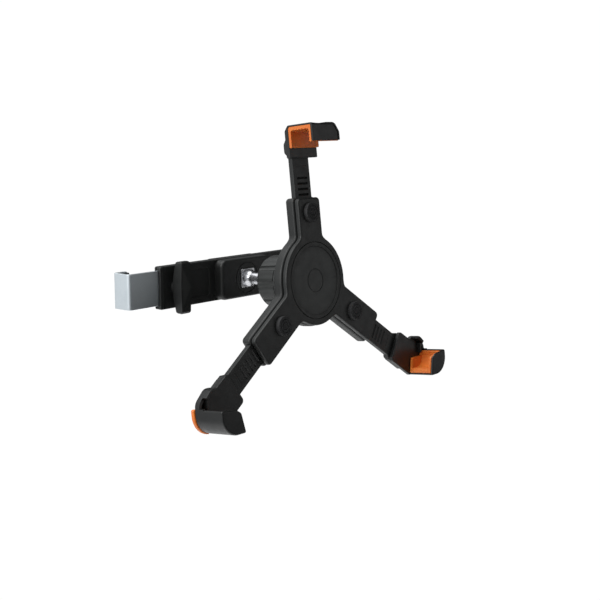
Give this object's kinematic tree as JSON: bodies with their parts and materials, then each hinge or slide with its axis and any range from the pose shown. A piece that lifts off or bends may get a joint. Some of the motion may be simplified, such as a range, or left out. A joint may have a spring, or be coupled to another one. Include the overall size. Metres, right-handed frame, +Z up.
{
  "type": "headrest tablet holder",
  "caption": "Car headrest tablet holder: hook bar with wing knobs, ball joint and three sliding arms with orange-lined claws.",
  "frame": {"origin": "midway between the two headrest posts, at the middle of the bar's height", "axes": "+X along the bar, +Y forwards through the posts, +Z up; the tablet faces -Y"},
  "size_m": [0.257, 0.1244, 0.2005],
  "materials": {
    "black_plastic": "fine moulded grain, satin black",
    "knob_plastic": "moulded, semi-matt black",
    "claw_plastic": "smooth satin black",
    "orange_rubber": "soft-touch orange",
    "dark_rubber": "matt black rubber",
    "natural_nylon": "natural nylon",
    "satin_aluminium": "satin, fine brushed",
    "plated_steel": "zinc plated",
    "brass": "turned"
  },
  "bodies": {
    "bar": {"bar_front_shell": "black_plastic", "bar_rear_shell": "black_plastic", "bar_screw_1": "plated_steel", "bar_screw_2": "plated_steel", "bar_screw_3": "plated_steel", "bar_screw_4": "plated_steel", "ball_stud": "plated_steel", "stud_nut": "plated_steel", "left_clamp_nut": "brass", "right_clamp_nut": "brass"},
    "left_hook": {"left_hook": "satin_aluminium", "left_hook_liner": "dark_rubber"},
    "right_hook": {"right_hook": "satin_aluminium", "right_hook_liner": "dark_rubber"},
    "left_knob": {"left_knob": "knob_plastic", "left_knob_screw": "plated_steel"},
    "right_knob": {"right_knob": "knob_plastic", "right_knob_screw": "plated_steel"},
    "ball_cap": {"ball_pressure_cap": "natural_nylon"},
    "ball_ring": {"ball_seat_ring": "natural_nylon"},
    "holder": {"hub_rear_shell": "black_plastic", "hub_front_cover": "black_plastic", "hub_screw_1": "plated_steel", "hub_screw_2": "plated_steel", "hub_screw_3": "plated_steel", "top_back_pad": "dark_rubber", "left_back_pad": "dark_rubber", "right_back_pad": "dark_rubber", "top_detent_spring": "plated_steel", "left_detent_spring": "plated_steel", "right_detent_spring": "plated_steel"},
    "collar": {"socket_collar": "knob_plastic"},
    "top_arm": {"top_arm": "black_plastic", "top_claw": "claw_plastic", "top_claw_liner": "orange_rubber", "top_claw_screw_1": "plated_steel", "top_claw_screw_2": "plated_steel"},
    "left_arm": {"left_arm": "black_plastic", "left_claw": "claw_plastic", "left_claw_liner": "orange_rubber", "left_claw_screw_1": "plated_steel", "left_claw_screw_2": "plated_steel"},
    "right_arm": {"right_arm": "black_plastic", "right_claw": "claw_plastic", "right_claw_liner": "orange_rubber", "right_claw_screw_1": "plated_steel", "right_claw_screw_2": "plated_steel"}
  },
  "joints": [
    {"name": "left_hook_slide", "type": "slide", "parent": "bar", "child": "left_hook", "axis": [1, 0, 0], "range_m": [-0.01, 0.023]},
    {"name": "right_hook_slide", "type": "slide", "parent": "bar", "child": "right_hook", "axis": [-1, 0, 0], "range_m": [-0.01, 0.023]},
    {"name": "left_knob_turn", "type": "hinge", "parent": "bar", "child": "left_knob", "pos_m": [-0.067, -0.018, 0], "axis": [0, -1, 0], "range_deg": [0, 270]},
    {"name": "right_knob_turn", "type": "hinge", "parent": "bar", "child": "right_knob", "pos_m": [0.067, -0.018, 0], "axis": [0, -1, 0], "range_deg": [0, 270]},
    {"name": "ball_swivel", "type": "hinge", "parent": "bar", "child": "ball_cap", "pos_m": [0, -0.052, 0], "axis": [0, 0, 1], "range_deg": [-20, 20]},
    {"name": "ball_tilt", "type": "hinge", "parent": "ball_cap", "child": "ball_ring", "pos_m": [0, -0.052, 0], "axis": [1, 0, 0], "range_deg": [-15, 20]},
    {"name": "ball_turn", "type": "hinge", "parent": "ball_ring", "child": "holder", "pos_m": [0, -0.052, 0], "axis": [0, -0.9931, 0.1175], "continuous": true},
    {"name": "collar_turn", "type": "hinge", "parent": "holder", "child": "collar", "pos_m": [0, -0.052, 0], "axis": [0, 0.9931, -0.1175], "range_deg": [0, 270]},
    {"name": "top_arm_slide", "type": "slide", "parent": "holder", "child": "top_arm", "axis": [0, 0.1175, 0.9931], "range_m": [-0.026, 0.01]},
    {"name": "left_arm_slide", "type": "slide", "parent": "holder", "child": "left_arm", "axis": [-0.829, -0.0657, -0.5553], "range_m": [-0.028, 0.01]},
    {"name": "right_arm_slide", "type": "slide", "parent": "holder", "child": "right_arm", "axis": [0.829, -0.0657, -0.5553], "range_m": [-0.028, 0.01]}
  ]
}
